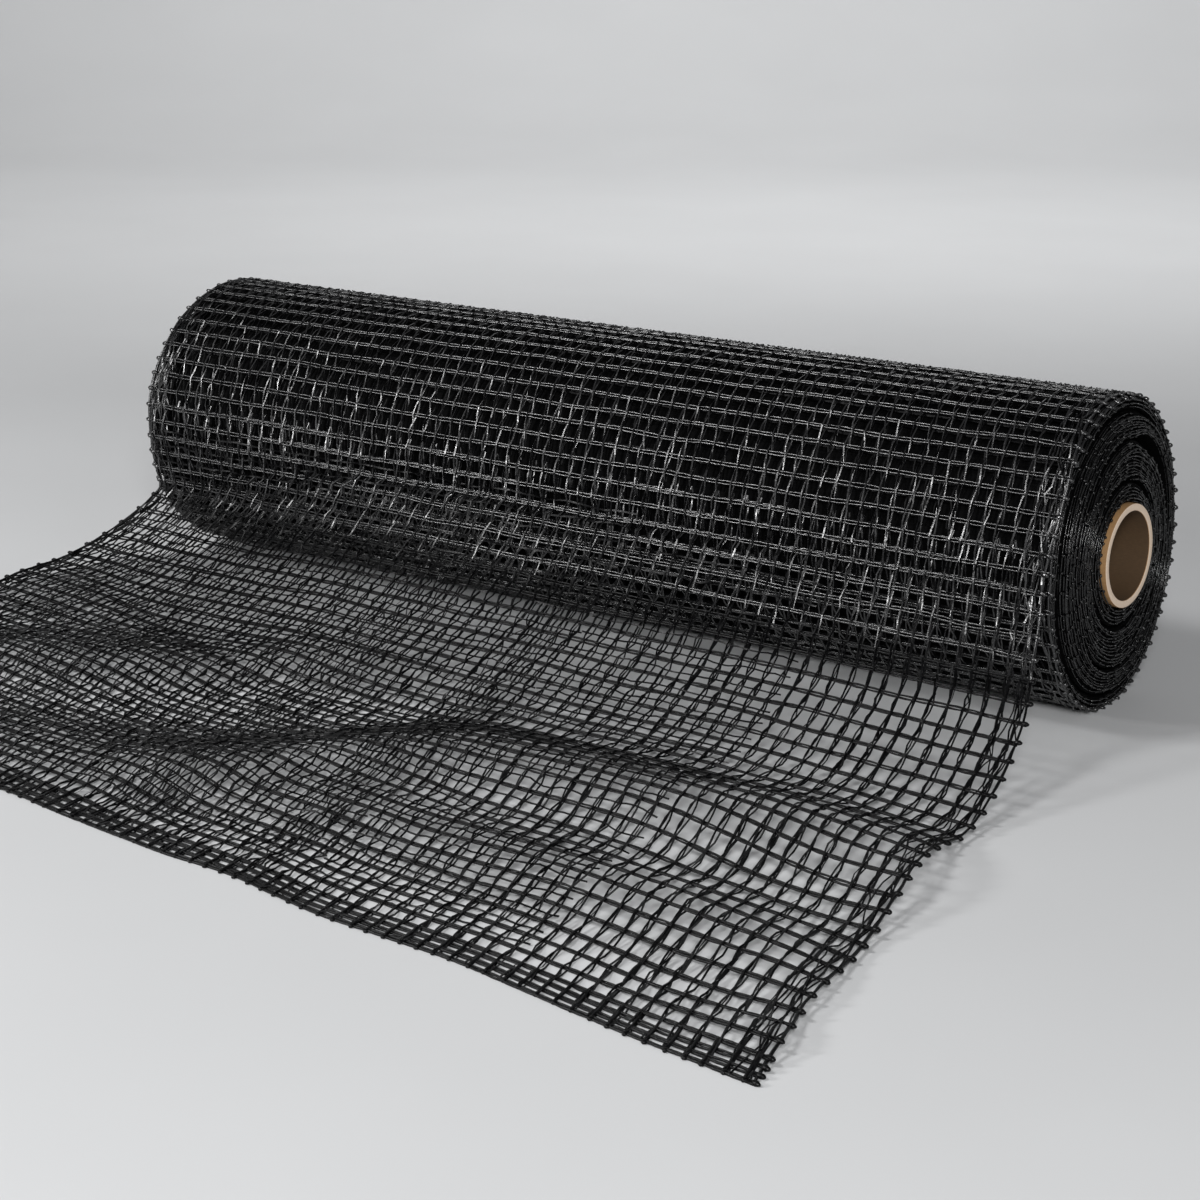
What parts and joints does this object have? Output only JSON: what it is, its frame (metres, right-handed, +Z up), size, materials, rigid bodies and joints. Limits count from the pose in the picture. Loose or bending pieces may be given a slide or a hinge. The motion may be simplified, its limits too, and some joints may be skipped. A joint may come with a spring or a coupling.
{
  "type": "roll of shade netting",
  "caption": "Roll of black plastic shade netting on a cardboard tube, its loose end drawn over the front and laid out on the floor in low folds.",
  "frame": {"origin": "on the floor, under the middle of the whole part's box", "axes": "+X along the roll's axis towards the end shown in the picture, -Y towards the front hem of the loose end, +Z up"},
  "size_m": [1.2026, 0.932, 0.2685],
  "materials": {
    "cardboard": "uncoated spiral-wound paperboard",
    "netting": "knitted black polyethylene yarn, slightly glossy"
  },
  "bodies": {
    "root": {"core_tube": "cardboard", "wound_roll": "netting", "loose_sheet": "netting"}
  },
  "joints": []
}
